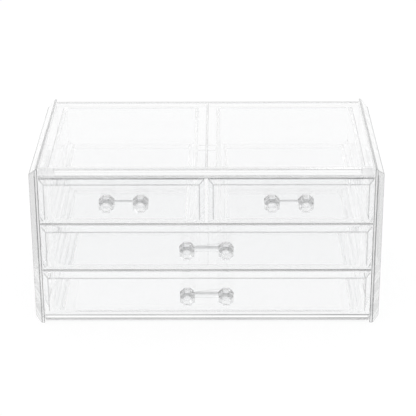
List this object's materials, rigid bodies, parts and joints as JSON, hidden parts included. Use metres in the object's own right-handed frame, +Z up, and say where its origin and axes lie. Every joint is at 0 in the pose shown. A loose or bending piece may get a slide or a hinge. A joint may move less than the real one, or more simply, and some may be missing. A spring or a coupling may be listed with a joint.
{
  "type": "jewellery drawers",
  "caption": "Clear plastic chest of small jewellery drawers with bevelled walls, bevelled drawer fronts and faceted double-knob handles.",
  "frame": {"origin": "bottom centre of the box around the whole object, handles included, on the surface it stands on", "axes": "+Z up, +X to the right as seen from the front, the drawer fronts face -Y"},
  "size_m": [0.238, 0.1524, 0.115],
  "materials": {
    "housing_plastic": "clear, polished",
    "tray_plastic": "clear, polished",
    "front_plastic": "clear, polished, bevelled",
    "handle_plastic": "clear, faceted"
  },
  "bodies": {
    "housing": {"left_side_panel": "housing_plastic", "right_side_panel": "housing_plastic", "top_panel": "housing_plastic", "bottom_panel": "housing_plastic", "back_panel": "housing_plastic", "upper_shelf": "housing_plastic", "lower_shelf": "housing_plastic", "centre_divider": "housing_plastic"},
    "upper_left_drawer": {"upper_left_tray": "tray_plastic", "upper_left_front": "front_plastic", "upper_left_handle": "handle_plastic"},
    "upper_right_drawer": {"upper_right_tray": "tray_plastic", "upper_right_front": "front_plastic", "upper_right_handle": "handle_plastic"},
    "middle_drawer": {"middle_tray": "tray_plastic", "middle_front": "front_plastic", "middle_handle": "handle_plastic"},
    "lower_drawer": {"lower_tray": "tray_plastic", "lower_front": "front_plastic", "lower_handle": "handle_plastic"}
  },
  "joints": [
    {"name": "upper_left_slide", "type": "slide", "parent": "housing", "child": "upper_left_drawer", "axis": [0, -1, 0], "range_m": [0, 0.105]},
    {"name": "upper_right_slide", "type": "slide", "parent": "housing", "child": "upper_right_drawer", "axis": [0, -1, 0], "range_m": [0, 0.105]},
    {"name": "middle_slide", "type": "slide", "parent": "housing", "child": "middle_drawer", "axis": [0, -1, 0], "range_m": [0, 0.105]},
    {"name": "lower_slide", "type": "slide", "parent": "housing", "child": "lower_drawer", "axis": [0, -1, 0], "range_m": [0, 0.105]}
  ]
}
